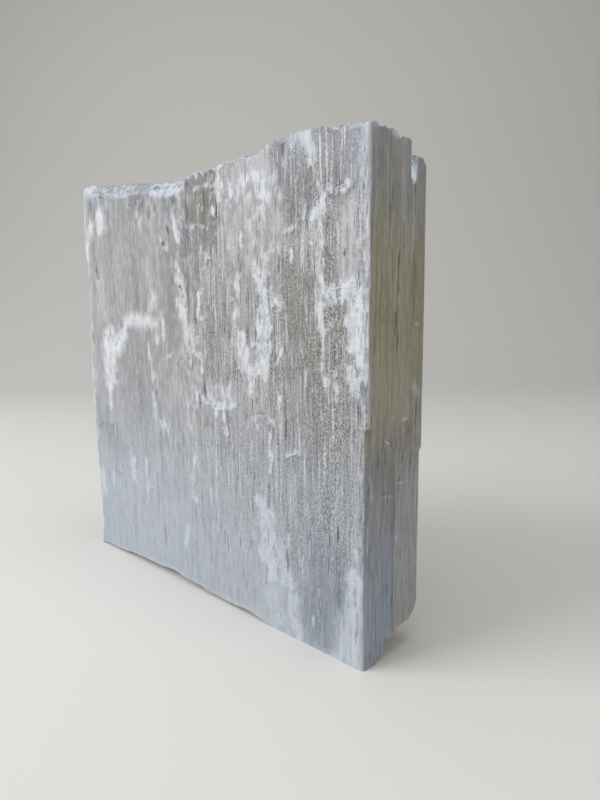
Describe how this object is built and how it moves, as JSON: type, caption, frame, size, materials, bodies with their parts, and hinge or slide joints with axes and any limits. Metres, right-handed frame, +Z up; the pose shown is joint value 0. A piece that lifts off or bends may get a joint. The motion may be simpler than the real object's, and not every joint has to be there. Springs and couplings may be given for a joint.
{
  "type": "selenite crystal",
  "caption": "Raw upright slab of fibrous satin spar selenite, with a ragged top, stepped ends and a flat foot to stand on.",
  "frame": {"origin": "middle of the bounding box on the ground, under the foot", "axes": "+X along the broad face to the stepped right end, -Y out of the broad front face, +Z up along the fibres"},
  "size_m": [0.262, 0.048, 0.27],
  "materials": {
    "selenite": "silky, milky, translucent, with white bruises"
  },
  "bodies": {
    "root": {"selenite_crystal": "selenite"}
  },
  "joints": []
}
